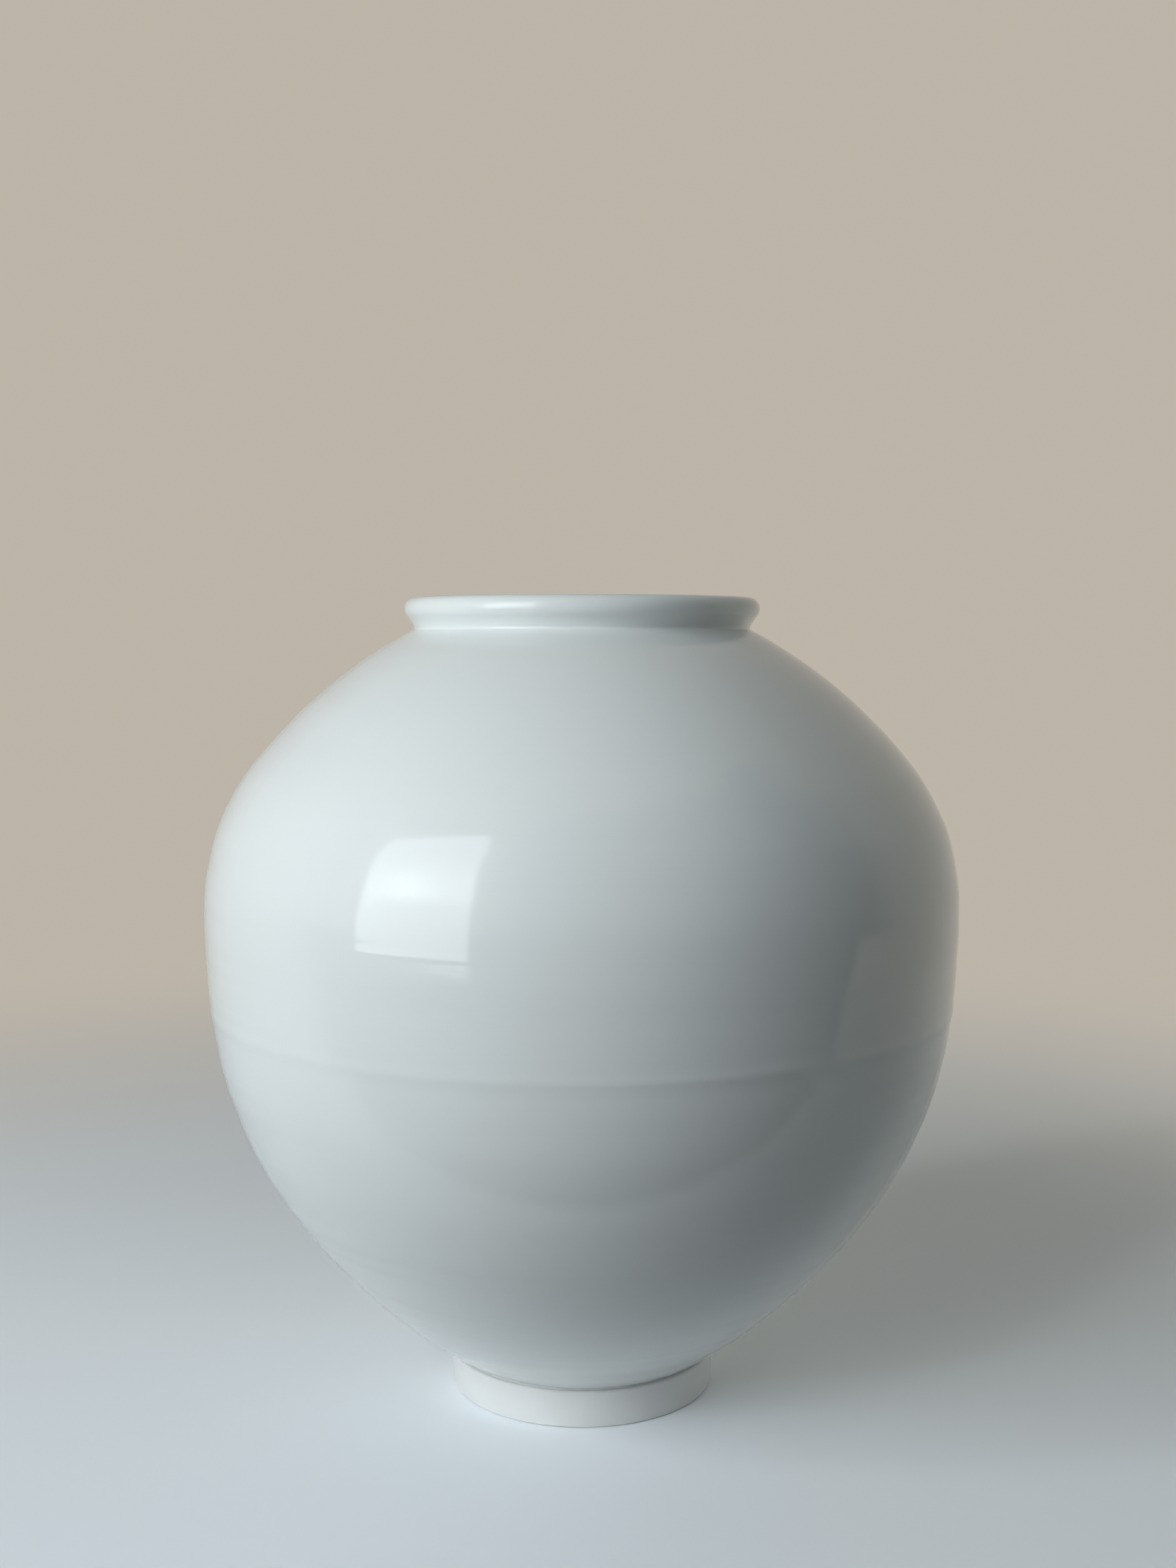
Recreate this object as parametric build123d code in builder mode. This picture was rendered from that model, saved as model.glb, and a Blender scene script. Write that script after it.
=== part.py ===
# Moon jar of thrown porcelain: two bowls joined rim to rim, with a thrown collar and foot ring.
# Every piece is turned about +Z. Sizes are in millimetres, radii from the axis, heights from the
# surface that the foot rests on.
import os

from build123d import *

os.makedirs("parts", exist_ok=True)

# Body
belly_radius = 206.6  # widest circle
belly_height = 273.0
seam_height = 217.0  # where the two bowls meet
flank_radius = 524.0  # radius of the outline from the belly down to the seam
neck_radius = 92.4  # crease under the collar
neck_height = 422.5
wall = 7.0
neck_edge = 4.0  # height of the upper bowl's edge inside the mouth
floor_thickness = 10.0
floor_curve = 25.0  # radius between the floor and the wall inside

# Places on the outline between those circles, as shares of the way from one to the other
shoulder_rise_share = 0.52  # from the belly up to the neck
shoulder_reach_share = 0.76  # from the neck out to the belly
knee_rise_share = 0.45  # from the foot up to the seam
knee_reach_share = 0.69  # from the foot out to the seam

# Foot ring
foot_radius = 74.0  # at its shoulder, flush with the body's lower edge
foot_height = 20.5
foot_width = 12.0
foot_taper = 1.2  # how much narrower it is where it stands
foot_flare = 1.2  # how much its hollow opens towards the ground
foot_bevel = 1.4  # round both edges that it stands on
foot_ease = 1.2  # bevel round its shoulder
groove_width = 1.8  # undercut between foot and body
groove_depth = 3.4
register_depth = 2.5  # how far the foot ring's spigot enters the body

# Collar
collar_width = 8.4  # at its seat
collar_key_rise = 2.5  # step in the seat
lip_overhang = 5.4  # beyond the crease
lip_height = 11.2  # widest circle of the lip above the crease
lip_round = 6.0  # radius over the lip's outer edge
throat_height = 5.9  # from the collar's seat to where its side turns from hollow to round
throat_reach = 3.8  # by which the lip overhangs the crease there
crown_drop = 6.5  # from the top of the lip down its round inner side, to where the mouth goes straight

# Joints
slip = 0.8  # thickness of the slip between two pieces
seam_key_width = 4.0  # tongue and groove in the two rims
seam_key_depth = 3.0
coil_height = 22.0  # clay coil worked over the seam inside, its section drawn from mid wall
coil_depth = 3.0
overrun = 1.0  # by which a cut passes the faces that it cuts

# Places that follow from the sizes
body_base = foot_height + groove_width
floor_height = body_base + floor_thickness
seam_radius = belly_radius - flank_radius + (flank_radius**2 - (belly_height - seam_height) ** 2) ** 0.5
seam_middle = seam_radius - wall / 2
shoulder_radius = neck_radius + shoulder_reach_share * (belly_radius - neck_radius)
shoulder_height = belly_height + shoulder_rise_share * (neck_height - belly_height)
knee_radius = foot_radius + knee_reach_share * (seam_radius - foot_radius)
knee_height = body_base + knee_rise_share * (seam_height - body_base)
mouth_radius = neck_radius - collar_width
collar_key_radius = (mouth_radius + neck_radius) / 2
neck_top = neck_height + collar_key_rise
crown_height = neck_height + lip_height + lip_round
foot_inner_radius = foot_radius - foot_width
spigot_radius = foot_radius - groove_depth
register_height = body_base + register_depth
up = (0, 1)
down = (0, -1)


def inside(curve, turn):
    """The point one wall thickness inside the far end of a curve of the outline."""
    return curve @ 1 + (curve % 1).rotate(Axis.Z, turn) * wall


def rim(height):
    """The cut through the wall at the seam, with its V, from outside to the axis."""
    return [
        (belly_radius + overrun, height),
        (seam_middle + seam_key_width / 2, height),
        (seam_middle, height - seam_key_depth),
        (seam_middle - seam_key_width / 2, height),
        (0, height),
    ]


def neck_step(gap):
    """The stepped seat of the collar, raised and widened by a gap, from outside to the mouth."""
    return [
        (neck_radius, neck_height + gap),
        (collar_key_radius + gap, neck_height + gap),
        (collar_key_radius + gap, neck_top + gap),
        (mouth_radius, neck_top + gap),
    ]


def register(gap):
    """The sides and top of the foot ring's spigot, enlarged by a gap, from inside to outside."""
    return [
        (foot_inner_radius - gap, body_base),
        (foot_inner_radius - gap, register_height - slip + gap),
        (spigot_radius + gap, register_height - slip + gap),
        (spigot_radius + gap, body_base),
    ]


lower_rim = rim(seam_height - slip / 2)
upper_rim = rim(seam_height + slip / 2)

# Section of both bowls in one, from the register under the floor to the seat of the collar
with BuildSketch() as body_section:
    with BuildLine():
        side = TangentArc((belly_radius, belly_height), (shoulder_radius, shoulder_height), tangent=up)
        shoulder = TangentArc(side @ 1, (neck_radius, neck_height), tangent=side % 1)
        flank = TangentArc((belly_radius, belly_height), (seam_radius, seam_height), tangent=down)
        lower = TangentArc(flank @ 1, (knee_radius, knee_height), tangent=flank % 1)
        under = TangentArc(lower @ 1, (foot_radius, body_base), tangent=lower % 1)
        Polyline(*neck_step(0), (0, neck_top), (0, body_base), *register(slip), under @ 1)
    make_face()
    with BuildLine():
        belly_inside = (belly_radius - wall, belly_height)
        side_in = TangentArc(belly_inside, inside(side, 90), tangent=up)
        shoulder_in = TangentArc(side_in @ 1, (mouth_radius, neck_height - neck_edge), tangent=side_in % 1)
        flank_in = TangentArc(belly_inside, inside(flank, -90), tangent=down)
        lower_in = TangentArc(flank_in @ 1, inside(lower, -90), tangent=flank_in % 1)
        under_in = TangentArc(lower_in @ 1, (foot_radius, floor_height), tangent=lower_in % 1)
        Polyline(
            shoulder_in @ 1,
            (mouth_radius, neck_top + overrun),
            (0, neck_top + overrun),
            (0, floor_height),
            under_in @ 1,
        )
    make_face(mode=Mode.SUBTRACT)
    fillet(body_section.vertices().sort_by_distance((foot_radius, floor_height))[0], floor_curve)

with BuildPart() as lower_bowl:
    with BuildSketch(Plane.XZ):
        add(body_section.sketch)
        with BuildLine():
            Polyline(*lower_rim, (0, 0), (belly_radius + overrun, 0), close=True)
        make_face(mode=Mode.INTERSECT)
    revolve(axis=Axis.Z)
lower_bowl.part.label = "lower_bowl"

with BuildPart() as upper_bowl:
    with BuildSketch(Plane.XZ):
        add(body_section.sketch)
        with BuildLine():
            Polyline(*upper_rim, (0, crown_height), (belly_radius + overrun, crown_height), close=True)
        make_face(mode=Mode.INTERSECT)
    revolve(axis=Axis.Z)
upper_bowl.part.label = "upper_bowl"

with BuildPart() as seam_slip:
    with BuildSketch(Plane.XZ):
        add(body_section.sketch)
        with BuildLine():
            Polyline(*lower_rim, *reversed(upper_rim), close=True)
        make_face(mode=Mode.INTERSECT)
    revolve(axis=Axis.Z)
seam_slip.part.label = "seam_slip"

# A lens of clay against the inside of the wall, half above the seam and half below
with BuildPart() as seam_coil:
    with BuildSketch(Plane.XZ):
        with BuildLine():
            coil = ThreePointArc(
                (seam_middle, seam_height - coil_height / 2),
                (seam_radius - wall - coil_depth, seam_height),
                (seam_middle, seam_height + coil_height / 2),
            )
            Line(coil @ 1, coil @ 0)
        make_face()
        add(body_section.sketch, mode=Mode.SUBTRACT)
    revolve(axis=Axis.Z)
seam_coil.part.label = "seam_coil"

with BuildPart() as collar_slip:
    with BuildSketch(Plane.XZ):
        with BuildLine():
            Polyline(*neck_step(0), *reversed(neck_step(slip)), close=True)
        make_face()
    revolve(axis=Axis.Z)
collar_slip.part.label = "collar_slip"

# The collar leans out from its seat, is widest high up, and rolls over into the mouth
with BuildPart() as mouth_collar:
    with BuildSketch(Plane.XZ):
        with BuildLine():
            lip_edge = (neck_radius + lip_overhang, neck_height + lip_height)
            throat_top = (neck_radius + throat_reach, neck_height + slip + throat_height)
            crown_start = (neck_radius + lip_overhang - lip_round, crown_height)
            over = TangentArc(lip_edge, crown_start, tangent=up)
            swell = TangentArc(lip_edge, throat_top, tangent=down)
            throat = TangentArc(swell @ 1, (neck_radius, neck_height + slip), tangent=swell % 1)
            crown = TangentArc(over @ 1, (mouth_radius, crown_height - crown_drop), tangent=over % 1)
            Line(crown @ 1, (mouth_radius, neck_top + slip))
            Polyline(*neck_step(slip))
        make_face()
    revolve(axis=Axis.Z)
mouth_collar.part.label = "mouth_collar"

with BuildPart() as foot_slip:
    with BuildSketch(Plane.XZ):
        with BuildLine():
            Polyline(*register(0), *reversed(register(slip)), close=True)
        make_face()
    revolve(axis=Axis.Z)
foot_slip.part.label = "foot_slip"

with BuildPart() as foot_ring:
    with BuildSketch(Plane.XZ) as foot_section:
        with BuildLine():
            Polyline(
                *register(0),
                (spigot_radius, foot_height),
                (foot_radius, foot_height),
                (foot_radius - foot_taper, 0),
                (foot_inner_radius + foot_flare, 0),
                close=True,
            )
        make_face()
        standing = foot_section.vertices().group_by(Axis.Y)[0]
        chamfer(standing, foot_bevel)
        chamfer(foot_section.vertices().sort_by_distance((foot_radius, foot_height))[0], foot_ease)
    revolve(axis=Axis.Z)
foot_ring.part.label = "foot_ring"

pieces = [lower_bowl, upper_bowl, seam_slip, seam_coil, mouth_collar, collar_slip, foot_ring, foot_slip]
for piece in pieces:
    export_step(piece.part, f"parts/{piece.part.label}.step")
    print(piece.part.label, [round(s.volume) for s in piece.part.solids()])
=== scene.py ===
import cmath
import math

import bpy
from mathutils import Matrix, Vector, noise


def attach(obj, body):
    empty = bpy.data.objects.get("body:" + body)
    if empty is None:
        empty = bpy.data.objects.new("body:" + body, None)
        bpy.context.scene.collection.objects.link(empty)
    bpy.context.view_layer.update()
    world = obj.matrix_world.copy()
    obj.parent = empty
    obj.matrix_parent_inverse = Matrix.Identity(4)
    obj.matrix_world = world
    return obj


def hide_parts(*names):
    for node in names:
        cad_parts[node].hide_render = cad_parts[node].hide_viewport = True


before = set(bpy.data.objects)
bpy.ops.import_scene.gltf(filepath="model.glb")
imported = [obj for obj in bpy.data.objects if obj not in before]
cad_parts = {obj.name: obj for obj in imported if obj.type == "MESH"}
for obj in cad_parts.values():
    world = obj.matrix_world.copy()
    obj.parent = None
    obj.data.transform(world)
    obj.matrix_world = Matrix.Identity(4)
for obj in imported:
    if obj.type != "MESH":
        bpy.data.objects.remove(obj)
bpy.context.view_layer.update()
mm = 0.001
print("frame loaded with", len(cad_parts), "pieces")

view = {
    "stand": (0.0032, -1.0, 0.418),  # the photograph's viewpoint, in metres from the foot of the jar
    "down": 4.636,  # degrees below level
    "lens": 41.5,
    "longSide": 36.0,  # of the sensor
}


def placeCamera():
    data = bpy.data.cameras.new("view")
    data.lens, data.sensor_width = view["lens"], view["longSide"]
    camera = bpy.data.objects.new("view", data)
    camera.location = view["stand"]
    camera.rotation_euler = (math.radians(90 - view["down"]), 0, 0)
    bpy.context.scene.collection.objects.link(camera)
    bpy.context.scene.camera = camera


placeCamera()
print("camera placed")


# Outlines: a point is radius + height * 1j, and a line is a list of points
def arcTo(line, heading, end, step):
    # an arc that leaves the last point along heading and ends at end; returns its heading there
    start = line[-1]
    turn = cmath.phase((end - start) / heading)
    across = abs(end - start) / math.sin(turn)
    count = max(3, math.ceil(abs(across * turn) / step))
    for k in range(1, count + 1):
        swing = turn * k / count
        line.append(start + heading * cmath.rect(across * math.sin(swing), swing))
    return heading * cmath.rect(1, 2 * turn)


def arcCentre(start, heading, end):
    turn = cmath.phase((end - start) / heading)
    return start + heading * 1j * abs(end - start) / (2 * math.sin(turn))


def ease(before, corner, after, radius, steps=6):
    # the rounded corner between two straight stretches
    inward, outward = (before - corner) / abs(before - corner), (after - corner) / abs(after - corner)
    half = abs(cmath.phase(outward / inward)) / 2
    start, end = corner + inward * radius / math.tan(half), corner + outward * radius / math.tan(half)
    line = [start]
    arcTo(line, -inward, end, abs(end - start) / steps)
    return line


def crossing(a, b, c, d):
    # where the lines through a and b and through c and d meet
    along, other = b - a, d - c
    return a + along * ((c - a) / other).imag / (along / other).imag


def cutAt(line, height, above):
    # the part of a line above or below a height, with a point on the cut
    kept = [p for p in line if (p.imag > height) == above]
    order = line if (line[0].imag > height) == above else line[::-1]
    last = next(k for k, p in enumerate(order) if (p.imag > height) != above)
    a, b = order[last - 1], order[last]
    cut = a + (b - a) * (height - a.imag) / (b.imag - a.imag)
    return kept + [cut] if order is line else [cut] + kept


body = {  # both bowls
    "belly": 206.6 * mm + 273.0j * mm,
    "seam": 217.0 * mm,
    "flankRadius": 524.0 * mm,  # of the outline between belly and seam
    "neck": 92.4 * mm + 422.5j * mm,
    "neckEdge": 4.0 * mm,
    "mouth": 84.0 * mm,
    "wall": 7.0 * mm,
    "floor": 32.3 * mm,
    "floorCurve": 25.0 * mm,
    "shoulderShares": (0.76, 0.52),  # outwards from the neck, and up from the belly
    "kneeShares": (0.69, 0.45),  # outwards and up from the foot to the seam
    "base": 74.0 * mm + 22.3j * mm,  # where the body ends above the foot ring
    "rowOutside": 1.1 * mm,
    "rowInside": 2.6 * mm,
}


def wallRadius(height):
    # of the outline at a height near the seam
    drop, bend = body["belly"].imag - height, body["flankRadius"]
    return body["belly"].real - bend + math.sqrt(bend**2 - drop**2)


def bodyLines():
    # the outer and inner outline, each in two lines that start at the belly
    belly, neck, base = body["belly"], body["neck"], body["base"]
    reachShare, riseShare = body["shoulderShares"]
    shoulder = complex(
        neck.real + reachShare * (belly.real - neck.real),
        belly.imag + riseShare * (neck.imag - belly.imag),
    )
    seam = complex(wallRadius(body["seam"]), body["seam"])
    reachShare, riseShare = body["kneeShares"]
    knee = complex(
        base.real + reachShare * (seam.real - base.real),
        base.imag + riseShare * (seam.imag - base.imag),
    )
    step, wall = body["rowOutside"], body["wall"]
    up, down = [belly], [belly]
    sideEnd = arcTo(up, 1j, shoulder, step)
    arcTo(up, sideEnd, neck, step)
    flankEnd = arcTo(down, -1j, seam, step)
    lowerEnd = arcTo(down, flankEnd, knee, step)
    arcTo(down, lowerEnd, base, step)
    step = body["rowInside"]
    upInside, downInside = [belly - wall], [belly - wall]
    heading = arcTo(upInside, 1j, shoulder + sideEnd * 1j * wall, step)
    arcTo(upInside, heading, complex(body["mouth"], neck.imag - body["neckEdge"]), step)
    heading = arcTo(downInside, -1j, seam - flankEnd * 1j * wall, step)
    heading = arcTo(downInside, heading, knee - lowerEnd * 1j * wall, step)
    # the last arc inside ends early, where the round corner of the floor touches it
    corner = complex(base.real, body["floor"])
    centre = arcCentre(downInside[-1], heading, corner)
    curve, away = body["floorCurve"], abs(corner - centre)
    level = body["floor"] + curve
    middle = complex(centre.real + math.sqrt((away - curve) ** 2 - (level - centre.imag) ** 2), level)
    heading = arcTo(downInside, heading, centre + (middle - centre) * away / (away - curve), step)
    arcTo(downInside, heading, middle - curve * 1j, step / 2)
    return up, down, upInside, downInside


upOut, downOut, upIn, downIn = bodyLines()

# How hands and tools left the surface: each skin gives metres outwards at a point of the jar
thrown = {
    "keepIn": 0.28 * mm,  # the trimmed skin lies this far inside the planned outline
    "oval": 0.10 * mm,
    "ovalTurn": 0.7,  # radians
    "wave": 0.38 * mm,
    "waveHeight": 17.0 * mm,
    "waveChange": 0.6,  # how quickly the waves change round the jar
    "ring": 0.10 * mm,
    "ringHeight": 7.0 * mm,
    "ringChange": 1.1,
    "finger": 0.45 * mm,
    "fingerHeight": 19.0 * mm,
    "spiral": 0.7,  # the even part of the finger ridges, as a share of the uneven one
    "ridge": 0.42 * mm,  # the luted seam, proud of the wall
    "ridgeRise": 1.7 * mm,  # its crest above the joint
    "ridgeHalf": 3.6 * mm,
    "dip": 0.42 * mm,  # the shallow hollow left under it
    "dipDrop": 6.0 * mm,
    "dipHalf": 6.5 * mm,
    "seamFade": 0.6,  # share of the seam's ridge and dip that is lost on the left
    "heel": 0.5 * mm,  # the trimming tool's last cut above the foot, a blunt edge at its top
    "heelHeight": 41.0 * mm,
    "heelRise": 11.0 * mm,
    "edgeCalm": 7.0 * mm,  # within which the rings die away towards the collar and the foot
    "seamCalm": 16.0 * mm,  # the same for the finger ridges at the seam
    "neckCalm": 14.0 * mm,
    "seed": 7.0,
}


def soft(x):
    return math.exp(-x * x)


def plainSkin(angle, height):
    # slightly oval and slightly inside the outline, and nothing else
    return thrown["oval"] * (math.cos(2 * angle - thrown["ovalTurn"]) - 1) / 2 - thrown["keepIn"]


def outsideSkin(angle, height):
    turnX, turnY = math.cos(angle), math.sin(angle)
    seed, change = thrown["seed"], thrown["waveChange"]
    wave = noise.noise(Vector((turnX * change, turnY * change, height / thrown["waveHeight"] + seed)))
    change = thrown["ringChange"]
    ring = noise.noise(Vector((turnX * change, turnY * change, height / thrown["ringHeight"] + 2 * seed)))
    above = height - body["seam"]
    ridge = thrown["ridge"] * soft((above - thrown["ridgeRise"]) / thrown["ridgeHalf"])
    dip = thrown["dip"] * soft((above + thrown["dipDrop"]) / thrown["dipHalf"])
    luted = 1 - thrown["seamFade"] * (0.5 - 0.5 * turnX)
    over = height - thrown["heelHeight"]
    under = body["base"].imag - thrown["heelHeight"]
    heel = thrown["heel"] * max(0.0, 1 - over / (thrown["heelRise"] if over > 0 else under))
    calm = 1 - soft((height - body["neck"].imag) / thrown["edgeCalm"])
    calm -= soft((height - body["base"].imag) / thrown["edgeCalm"])
    uneven = (thrown["wave"] * wave + thrown["ring"] * ring) * max(0.0, calm)
    return uneven + (ridge - dip) * luted + heel + plainSkin(angle, height)


def insideSkin(angle, height):
    turns = height / thrown["fingerHeight"]
    even = math.sin(2 * math.pi * turns + angle) * thrown["spiral"]
    uneven = noise.noise(Vector((math.cos(angle), math.sin(angle), turns * 2 + thrown["seed"])))
    calm = 1 - soft((height - body["seam"]) / thrown["seamCalm"])
    calm -= soft((height - body["neck"].imag) / thrown["neckCalm"])
    fingers = thrown["finger"] * (even + uneven) * max(0.0, calm)
    return fingers + plainSkin(angle, height) + thrown["keepIn"]


wheel = {
    "columns": 288,  # round the jar
    "axis": 0.001 * mm,  # a point nearer to the axis than this is on it
    "sharp": 40.0,  # degrees between faces from which their edge looks sharp
}


def turnPiece(name, runs, finish, slot, *nodes):
    # turns a closed outline, given as runs of (points, skin), into a mesh in place of its nodes
    columns = wheel["columns"]
    vertices, rings = [], []
    for points, skin in runs:
        for p in points:
            if abs(p.real) < wheel["axis"]:
                rings.append([len(vertices)] * columns)
                vertices.append((0, 0, p.imag))
                continue
            ring = []
            for k in range(columns):
                angle = 2 * math.pi * k / columns
                radius = p.real + skin(angle, p.imag)
                ring.append(len(vertices))
                vertices.append((radius * math.cos(angle), radius * math.sin(angle), p.imag))
            rings.append(ring)
    faces = []
    for low, high in zip(rings, rings[1:] + rings[:1]):
        for k in range(columns):
            after = (k + 1) % columns
            corners = list(dict.fromkeys((low[k], low[after], high[after], high[k])))
            if len(corners) > 2:
                faces.append(corners)
    mesh = bpy.data.meshes.new(name)
    mesh.from_pydata(vertices, [], faces)
    mesh.shade_smooth()
    mesh.set_sharp_from_angle(angle=math.radians(wheel["sharp"]))
    mesh.materials.append(finish)
    piece = bpy.data.objects.new(name, mesh)
    bpy.context.scene.collection.objects.link(piece)
    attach(piece, "root")
    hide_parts(*nodes)
    print(name, len(faces), "faces")


class Wire:
    # a node's output that works in sums: numbers go through Math, vectors through Vector Math,
    # and colours through Mix
    def __init__(self, tree, socket):
        self.tree, self.socket = tree, socket

    def join(self, operation, first, second):
        kinds = {self.kind(first), self.kind(second)}
        if "RGBA" in kinds:
            blend = {"data_type": "RGBA", "blend_type": operation}
            values = {0: 1.0, 6: self.spread(first, 1), 7: self.spread(second, 1)}
            return make(self.tree, "ShaderNodeMix", blend, values, 2)
        if "VECTOR" in kinds:
            values = {0: self.spread(first), 1: self.spread(second)}
            return make(self.tree, "ShaderNodeVectorMath", {"operation": operation}, values)
        return make(self.tree, "ShaderNodeMath", {"operation": operation}, {0: first, 1: second})

    def kind(self, value):
        if isinstance(value, Wire):
            return value.socket.type
        return "VALUE" if isinstance(value, (int, float)) else "VECTOR"

    def spread(self, value, *alpha):
        # a plain number as a vector, or with an alpha as a colour
        return (value, value, value, *alpha) if isinstance(value, (int, float)) else value

    def __add__(self, other):
        return self.join("ADD", self, other)

    def __radd__(self, other):
        return self.join("ADD", other, self)

    def __sub__(self, other):
        return self.join("SUBTRACT", self, other)

    def __rsub__(self, other):
        return self.join("SUBTRACT", other, self)

    def __mul__(self, other):
        return self.join("MULTIPLY", self, other)

    def __rmul__(self, other):
        return self.join("MULTIPLY", other, self)

    def __truediv__(self, other):
        return self.join("DIVIDE", self, other)

    def __rtruediv__(self, other):
        return self.join("DIVIDE", other, self)


def make(tree, kind, settings=None, values=None, output=0):
    # any node: its settings first, then its sockets by name or number; gives one output as a wire
    node = tree.nodes.new(kind)
    for name, value in (settings or {}).items():
        setattr(node, name, value)
    for name, value in (values or {}).items():
        if isinstance(value, Wire):
            tree.links.new(value.socket, node.inputs[name])
        else:
            node.inputs[name].default_value = value
    return Wire(tree, node.outputs[output])


def mixColour(tree, factor, first, second):
    return make(tree, "ShaderNodeMix", {"data_type": "RGBA"}, {0: factor, 6: first, 7: second}, 2)


def newTree(name):
    material = bpy.data.materials.new(name)
    material.use_nodes = True
    material.node_tree.nodes.clear()
    return material, material.node_tree


def finishWith(tree, shader, end="ShaderNodeOutputMaterial"):
    tree.links.new(shader.socket, tree.nodes.new(end).inputs["Surface"])


def grainOf(tree, place, scale, detail=3.0, stretch=(1, 1, 1)):
    # cloudy noise from 0 to 1 in the object's own space, finer along an axis that is stretched
    there = make(tree, "ShaderNodeMapping", {}, {"Vector": place, "Scale": stretch})
    return make(tree, "ShaderNodeTexNoise", {}, {"Vector": there, "Scale": scale, "Detail": detail})


glaze = {
    "colour": (0.745, 0.775, 0.765, 1),
    "pooled": (0.66, 0.72, 0.70, 1),  # where the glaze lies thick
    "cloudScale": 9.0,
    "thin": 0.35,  # noise below which nothing has pooled
    "pooling": 0.30,  # how quickly it pools above that
    "roughness": 0.07,
    "roughnessChange": 0.03,
    "refraction": 1.5,
    "streakScale": 2.2,  # the fine throwing lines in the glaze
    "streakStretch": (3, 3, 60),
    "streaks": 0.22,  # their strength
    "peelScale": 260.0,  # the glaze's grain
    "peel": 0.04,  # its height, as a share of theirs
    "relief": 0.6 * mm,
}


def glazeFinish():
    material, tree = newTree("glaze")
    place = make(tree, "ShaderNodeTexCoord", output="Object")
    cloud = grainOf(tree, place, glaze["cloudScale"])
    streak = grainOf(tree, place, glaze["streakScale"], stretch=glaze["streakStretch"])
    peel = grainOf(tree, place, glaze["peelScale"], detail=2.0)
    pooled = ((cloud + streak) * 0.5 - glaze["thin"]) * glaze["pooling"]
    height = peel * glaze["peel"] + streak
    surface = {"Height": height, "Strength": glaze["streaks"], "Distance": glaze["relief"]}
    shader = make(
        tree,
        "ShaderNodeBsdfPrincipled",
        {},
        {
            "Base Color": mixColour(tree, pooled, glaze["colour"], glaze["pooled"]),
            "Roughness": streak * glaze["roughnessChange"] + glaze["roughness"],
            "IOR": glaze["refraction"],
            "Normal": make(tree, "ShaderNodeBump", {}, surface),
        },
    )
    finishWith(tree, shader)
    return material


bare = {
    "colour": (0.76, 0.77, 0.76, 1),
    "dusty": (0.70, 0.705, 0.69, 1),
    "cloudScale": 30.0,
    "roughness": 0.55,
    "roughnessChange": 0.15,
    "turnedScale": 2.0,  # the lines left by trimming on the wheel
    "turnedStretch": (2, 2, 400),
    "turned": 0.12,  # their strength
    "grainScale": 900.0,
    "grain": 0.6,  # its height, as a share of theirs
    "relief": 0.4 * mm,
}


def bareFinish():
    material, tree = newTree("barePorcelain")
    place = make(tree, "ShaderNodeTexCoord", output="Object")
    turned = grainOf(tree, place, bare["turnedScale"], stretch=bare["turnedStretch"])
    grain = grainOf(tree, place, bare["grainScale"], detail=2.0)
    cloud = grainOf(tree, place, bare["cloudScale"])
    height = grain * bare["grain"] + turned
    surface = {"Height": height, "Strength": bare["turned"], "Distance": bare["relief"]}
    shader = make(
        tree,
        "ShaderNodeBsdfPrincipled",
        {},
        {
            "Base Color": mixColour(tree, cloud, bare["colour"], bare["dusty"]),
            "Roughness": cloud * bare["roughnessChange"] + bare["roughness"],
            "Normal": make(tree, "ShaderNodeBump", {}, surface),
        },
    )
    finishWith(tree, shader)
    return material


glazed, unglazed = glazeFinish(), bareFinish()
print("finishes made")

joint = {
    "slip": 0.8 * mm,  # thickness of the clay between two pieces
    "keyWidth": 4.0 * mm,
    "keyDepth": 3.0 * mm,
}
seamLow, seamHigh = body["seam"] - joint["slip"] / 2, body["seam"] + joint["slip"] / 2


def rimKey(height):
    # the V in the seam, from outside to inside
    middle, half = wallRadius(height) - body["wall"] / 2, joint["keyWidth"] / 2
    return [
        complex(middle + half, height),
        complex(middle, height - joint["keyDepth"]),
        complex(middle - half, height),
    ]


foot = {
    "top": 20.5 * mm,
    "width": 12.0 * mm,
    "taper": 1.2 * mm,
    "flare": 1.2 * mm,
    "standingEdge": 1.5 * mm,
    "shoulderEdge": 1.3 * mm,
    "spigot": 70.6 * mm,  # radius of what stands in the body's register
    "registerDepth": 2.5 * mm,
    "pool": 1.3 * mm,  # by which slip and glaze fill the groove
}


def register(gap):
    # the spigot's sides and top, enlarged by a gap, from inside to outside
    inner, outer = body["base"].real - foot["width"] - gap, foot["spigot"] + gap
    low = body["base"].imag
    high = low + foot["registerDepth"] - joint["slip"] + gap
    return [complex(inner, low), complex(inner, high), complex(outer, high), complex(outer, low)]


lowerBowl = {
    "edge": 1.1 * mm,  # radius of the glazed edge over the foot's groove
    "edgeRow": 8,  # the row of the outline, from its end, towards which that edge leans
    "leastRow": 0.3 * mm,  # height of the first row above the edge
}


def buildLowerBowl():
    socket, base = register(joint["slip"]), body["base"]
    edge = ease(socket[-1], base, downOut[-lowerBowl["edgeRow"]], lowerBowl["edge"])
    climb = [p for p in downOut[::-1] if p.imag > edge[-1].imag + lowerBowl["leastRow"]]
    outline = [
        ([complex(0, base.imag)] + socket + edge, plainSkin),
        (cutAt(climb, seamLow, False), outsideSkin),
        (rimKey(seamLow), plainSkin),
        (cutAt(downIn, seamLow, False), insideSkin),
        ([complex(0, body["floor"])], plainSkin),
    ]
    turnPiece("lowerBowl", outline, glazed, "glazed_porcelain", "lower_bowl")


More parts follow.
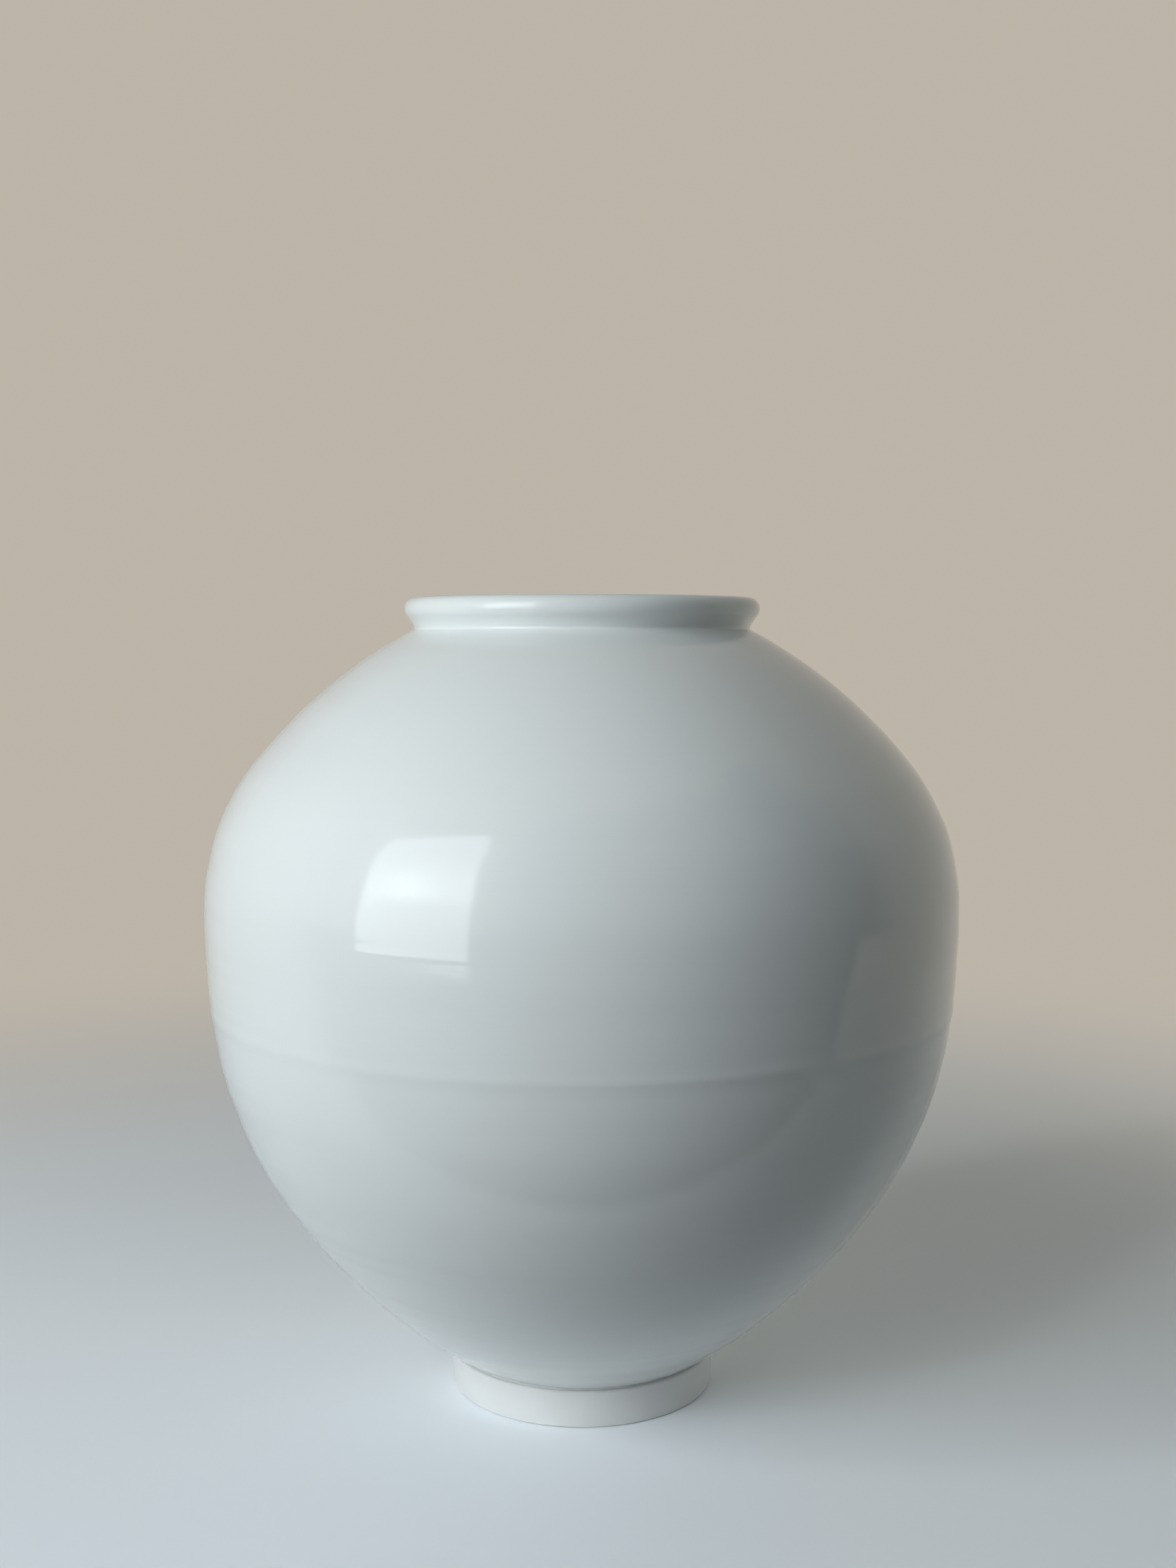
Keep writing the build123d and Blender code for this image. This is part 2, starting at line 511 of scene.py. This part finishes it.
collar = {
    "overhang": 5.4 * mm,
    "lipHeight": 11.2 * mm,
    "lipRound": 6.0 * mm,
    "throatHeight": 5.9 * mm,
    "throatReach": 3.8 * mm,
    "crownDrop": 6.5 * mm,
    "step": 2.5 * mm,  # in its seat
    "crease": 1.2 * mm,  # radius of the slip smoothed into the crease under the collar
    "creaseSteps": 10,
    "row": 0.4 * mm,
}


def seat(gap):
    # the collar's stepped seat, raised and widened by a gap, from outside to the mouth
    middle = (body["neck"].real + body["mouth"]) / 2 + gap
    low = body["neck"].imag + gap
    high = low + collar["step"]
    return [complex(middle, low), complex(middle, high), complex(body["mouth"], high)]


def buildUpperBowl():
    outline = [
        (cutAt(downOut, seamHigh, True)[::-1] + upOut[1:], outsideSkin),
        (seat(0), plainSkin),
        (upIn[::-1] + cutAt(downIn, seamHigh, True)[1:], insideSkin),
        (rimKey(seamHigh)[::-1], plainSkin),
    ]
    turnPiece("upperBowl", outline, glazed, "glazed_porcelain", "upper_bowl")


def buildSeamSlip():
    outside = [complex(wallRadius(height), height) for height in (seamLow, body["seam"], seamHigh)]
    inside = [cutAt(downIn, seamHigh, True)[-1], cutAt(downIn, seamLow, False)[0]]
    outline = [
        (outside, outsideSkin),
        (rimKey(seamHigh), plainSkin),
        (inside, insideSkin),
        (rimKey(seamLow)[::-1], plainSkin),
    ]
    turnPiece("seamSlip", outline, glazed, "glazed_porcelain", "seam_slip")


coil = {
    "height": 16.0 * mm,
    "depth": 3.0 * mm,
    "row": 1.0 * mm,
}


def buildSeamCoil():
    # a lens of clay against the wall, with its face bulging into the jar
    seam, half = body["seam"], coil["height"] / 2
    wall = [p for p in downIn if abs(p.imag - seam) < half - coil["row"] / 2]
    top, bottom = cutAt(downIn, seam + half, True)[-1], cutAt(downIn, seam - half, False)[0]
    crest = cutAt(downIn, seam, True)[-1] - coil["depth"]
    chord = top - bottom
    bulge = 2 * math.atan(2 * abs((top + bottom) / 2 - crest) / abs(chord))
    face = [bottom]
    arcTo(face, chord / abs(chord) * cmath.rect(1, bulge), top, coil["row"])
    outline = [(wall[::-1] + face[::-1], insideSkin)]
    turnPiece("seamCoil", outline, glazed, "glazed_porcelain", "seam_coil")


def collarLines():
    # from the lip's outer edge: over into the mouth, and down its underside to the seat
    neck = body["neck"]
    edge = neck + complex(collar["overhang"], collar["lipHeight"])
    crown = edge + complex(-collar["lipRound"], collar["lipRound"])
    throat = neck + complex(collar["throatReach"], joint["slip"] + collar["throatHeight"])
    over, under = [edge], [edge]
    heading = arcTo(over, 1j, crown, collar["row"])
    arcTo(over, heading, complex(body["mouth"], crown.imag - collar["crownDrop"]), collar["row"])
    heading = arcTo(under, -1j, throat, collar["row"])
    arcTo(under, heading, neck + joint["slip"] * 1j, collar["row"])
    return over, under


collarOver, collarUnder = collarLines()


def buildCollarSlip():
    neck, corner = body["neck"], crossing(upOut[-1], upOut[-2], collarUnder[-1], collarUnder[-2])
    crease = ease(upOut[-2], corner, collarUnder[-2], collar["crease"], collar["creaseSteps"])
    smoothed = [neck] + crease + [neck + joint["slip"] * 1j]
    outline = [(smoothed + seat(joint["slip"]) + seat(0)[::-1], plainSkin)]
    turnPiece("collarSlip", outline, glazed, "glazed_porcelain", "collar_slip")


def buildMouthCollar():
    outline = [(collarUnder[::-1] + collarOver[1:] + seat(joint["slip"])[::-1], plainSkin)]
    turnPiece("mouthCollar", outline, glazed, "glazed_porcelain", "mouth_collar")


def buildFootSlip():
    socket, spigot, fill = register(joint["slip"]), register(0), foot["spigot"] + foot["pool"]
    groove = [
        complex(foot["spigot"], foot["top"]),
        complex(fill, foot["top"]),
        complex(fill, body["base"].imag),
    ]
    outline = [(socket[:1] + spigot[:3] + groove + socket[:0:-1], plainSkin)]
    turnPiece("footSlip", outline, unglazed, "slip", "foot_slip")


def buildFootRing():
    spigot, outer, inner = register(0), body["base"].real, body["base"].real - foot["width"]
    shoulder = complex(outer, foot["top"])
    outerToe, innerToe = complex(outer - foot["taper"], 0), complex(inner + foot["flare"], 0)
    neck = complex(foot["spigot"], foot["top"])
    outline = [
        (ease(spigot[1], innerToe, outerToe, foot["standingEdge"]), plainSkin),
        (ease(innerToe, outerToe, shoulder, foot["standingEdge"]), plainSkin),
        (ease(outerToe, shoulder, neck, foot["shoulderEdge"]), plainSkin),
        ([neck] + spigot[2::-1], plainSkin),
    ]
    turnPiece("footRing", outline, unglazed, "bare_porcelain", "foot_ring")


buildLowerBowl()
buildUpperBowl()
buildSeamSlip()
buildSeamCoil()
buildCollarSlip()
buildMouthCollar()
buildFootSlip()
buildFootRing()
print("jar turned")


def backgroundShare(tree):
    # 1 for rays that show the background: from the camera, in gloss and through glass
    names = ("Is Camera Ray", "Is Glossy Ray", "Is Transmission Ray")
    camera, gloss, through = [make(tree, "ShaderNodeLightPath", output=name) for name in names]
    return make(tree, "ShaderNodeMath", {"operation": "MINIMUM"}, {0: camera + gloss + through, 1: 1.0})


def stageMesh(name, corners, material):
    # a strip of faces between pairs of corners
    mesh = bpy.data.meshes.new(name)
    count = len(corners) // 2 - 1
    mesh.from_pydata(corners, [], [(2 * k, 2 * k + 2, 2 * k + 3, 2 * k + 1) for k in range(count)])
    mesh.materials.append(material)
    card = bpy.data.objects.new(name, mesh)
    bpy.context.scene.collection.objects.link(card)
    return card


studio = {
    "backdrop": (0.51, 0.46, 0.395, 1),
    "ambient": (0.100, 0.110, 0.110, 1),
    # of the dark sheets: painted shade and painted dark reflection
    "dark": (0.03, 0.03, 0.03, 1),
}


def buildWorld():
    world = bpy.data.worlds.new("studio")
    bpy.context.scene.world = world
    world.use_nodes = True
    tree = world.node_tree
    tree.nodes.clear()
    colour = mixColour(tree, backgroundShare(tree), studio["ambient"], studio["backdrop"])
    finishWith(tree, make(tree, "ShaderNodeBackground", {}, {"Color": colour}), "ShaderNodeOutputWorld")


def darkShader(tree):
    return make(tree, "ShaderNodeBsdfDiffuse", {}, {"Color": studio["dark"]})


floor = {
    "colour": (0.84, 0.86, 0.88, 1),
    "seen": (0.92, 0.96, 1.0, 1),  # its colour to the camera and in gloss
    "roughness": 0.6,
    "half": 8.0,
    "glossEdge": -0.272,  # nearer than this the glaze sees a dark sheet in place of the floor: painted dark reflection
    "bounceEdge": -0.19,  # and nearer than this the floor throws no light on the jar
    "shadeSheetDrop": 1.0 * mm,
    "fadeFrom": 0.42,  # the floor fades into the backdrop between these distances
    "fadeTo": 1.4,
}


def sheet(name, front, back, height, material):
    corners = [(x, y, height) for x in (-floor["half"], floor["half"]) for y in (front, back)]
    return stageMesh(name, corners, material)


def buildFloor():
    material, tree = newTree("floor")
    place = make(tree, "ShaderNodeTexCoord", output="Object")
    away = make(tree, "ShaderNodeVectorMath", {"operation": "LENGTH"}, {0: place}, "Value")
    ends = {"Value": away, "From Min": floor["fadeFrom"], "From Max": floor["fadeTo"]}
    fade = make(tree, "ShaderNodeMapRange", {"interpolation_type": "SMOOTHSTEP"}, ends)
    share = backgroundShare(tree)
    colour = mixColour(tree, share, floor["colour"], floor["seen"])
    card = make(
        tree, "ShaderNodeBsdfPrincipled", {}, {"Base Color": colour, "Roughness": floor["roughness"]}
    )
    beyond = make(tree, "ShaderNodeEmission", {}, {"Color": studio["backdrop"]})
    finishWith(tree, make(tree, "ShaderNodeMixShader", {}, {0: fade * share, 1: card, 2: beyond}))
    shadeSheet, shadeSheetTree = newTree("shadeSheet")
    finishWith(shadeSheetTree, darkShader(shadeSheetTree))
    sheet("floor", floor["bounceEdge"], floor["half"], 0, material)
    sheet("floorBefore", floor["glossEdge"], floor["bounceEdge"], 0, material).visible_diffuse = False
    near = sheet("floorInFront", -floor["half"], floor["glossEdge"], 0, material)
    near.visible_diffuse = near.visible_glossy = False
    # a dark sheet just under the near floor, unseen by the camera: painted shade and painted dark
    # reflection on the jar's lower front
    nearShade = sheet("shadeSheetInFront", -floor["half"], floor["bounceEdge"], -floor["shadeSheetDrop"], shadeSheet)
    nearShade.visible_camera = False


glossShade = {  # a dark sheet that only gloss sees: painted dark reflection, which keeps the window light out of the right side's gloss
    "turn": 36.0,  # its middle, in degrees round from the camera's side towards the right
    "half": 68.0,  # degrees from its middle to its edge
    "thickHalf": 44.0,  # and to where it starts to thin out
    "away": 2.4,
    "heights": (-0.5, 4.0),
    "steps": 48,
}


def buildGlossShade():
    # painted dark reflection: a dark sheet over the front and right that only the glaze's gloss sees
    material, tree = newTree("glossShade")
    middle, away, steps = math.radians(glossShade["turn"]), glossShade["away"], glossShade["steps"]
    half, thickHalf = math.radians(glossShade["half"]), math.radians(glossShade["thickHalf"])
    place = make(tree, "ShaderNodeTexCoord", output="Object")
    toward = (math.sin(middle) / away, -math.cos(middle) / away, 0)
    facing = make(
        tree, "ShaderNodeVectorMath", {"operation": "DOT_PRODUCT"}, {0: place, 1: toward}, "Value"
    )
    ends = {"Value": facing, "From Min": math.cos(half), "From Max": math.cos(thickHalf)}
    cover = make(tree, "ShaderNodeMapRange", {"interpolation_type": "SMOOTHSTEP"}, ends)
    clear = make(tree, "ShaderNodeBsdfTransparent")
    finishWith(tree, make(tree, "ShaderNodeMixShader", {}, {0: cover, 1: clear, 2: darkShader(tree)}))
    corners = []
    for k in range(steps + 1):
        turn = middle + half * (2 * k / steps - 1)
        x, y = away * math.sin(turn), -away * math.cos(turn)
        corners += [(x, y, height) for height in glossShade["heights"]]
    glossShadeCard = stageMesh("glossShade", corners, material)
    glossShadeCard.visible_camera = glossShadeCard.visible_diffuse = glossShadeCard.visible_shadow = False


window = {
    "right": (-0.585, -1.053),  # its two edges, seen from above
    "left": (-1.365, -0.706),
    "heights": (0.105, 1.32),
    "light": (3.15, 3.38, 3.55),
    "brightHeight": 0.69,  # of the middle of a brighter band across it, and of a spot in that
    "band": 0.5,  # how much brighter than the rest
    "bandHalf": 0.14,  # where half of that is left
    "spot": 0.5,
    "spotHalf": (0.12, 0.09),
}


def fallOff(tree, square):
    # 1 in the middle, and half of it left where the squared distance is 1
    return make(tree, "ShaderNodeMath", {"operation": "POWER"}, {0: 0.5, 1: square})


def buildWindow():
    material, tree = newTree("window")
    place = make(tree, "ShaderNodeTexCoord", output="Object")
    across, up = [make(tree, "ShaderNodeSeparateXYZ", {}, {0: place}, axis) for axis in ("X", "Z")]
    aside = across - (window["right"][0] + window["left"][0]) / 2
    above = up - window["brightHeight"]
    wide, tall = window["spotHalf"]
    inBand = above / window["bandHalf"]
    inSpot = aside / wide
    overSpot = above / tall
    band = fallOff(tree, inBand * inBand) * window["band"]
    spot = fallOff(tree, inSpot * inSpot + overSpot * overSpot) * window["spot"]
    light = (band + spot + 1) * window["light"]
    finishWith(tree, make(tree, "ShaderNodeEmission", {}, {"Color": light}))
    corners = [(*window[side], height) for side in ("right", "left") for height in window["heights"]]
    stageMesh("window", corners, material).visible_camera = False


softboxes = {  # hidden from the camera and in gloss; turn is in degrees round from the camera's side
    "key": {
        "turn": -46.5,
        "rise": 22.5,
        "away": 1.7,
        "size": (1.2, 1.0),
        "power": 47.5,
        "colour": (0.955, 1.0, 1.02),
    },
    "side": {
        "turn": 115.0,
        "rise": 0.0,
        "away": 1.7,
        "size": (0.6, 0.6),
        "power": 4.2,
        "colour": (0.98, 1.0, 0.97),
    },
    "back": {  # large and warm
        "turn": 160.0,
        "rise": 16.0,
        "away": 1.6,
        "size": (3.2, 1.4),
        "power": 4.5,
        "colour": (1.0, 0.92, 0.74),
    },
}


def buildSoftbox(name, turn, rise, away, size, power, colour):
    data = bpy.data.lights.new(name, "AREA")
    data.shape, data.size, data.size_y = "RECTANGLE", *size
    data.energy, data.color = power, colour
    lamp = bpy.data.objects.new(name, data)
    turn, rise = math.radians(turn), math.radians(rise)
    way = Vector((math.sin(turn) * math.cos(rise), -math.cos(turn) * math.cos(rise), math.sin(rise)))
    lamp.location = Vector((0, 0, body["belly"].imag)) + way * away
    lamp.rotation_euler = (-way).to_track_quat("-Z", "Y").to_euler()
    lamp.visible_camera = lamp.visible_glossy = False
    bpy.context.scene.collection.objects.link(lamp)


buildWorld()
buildFloor()
buildGlossShade()
buildWindow()
for name, settings in softboxes.items():
    buildSoftbox(name, **settings)
bpy.context.scene.view_settings.view_transform = "Standard"
print("studio lit")
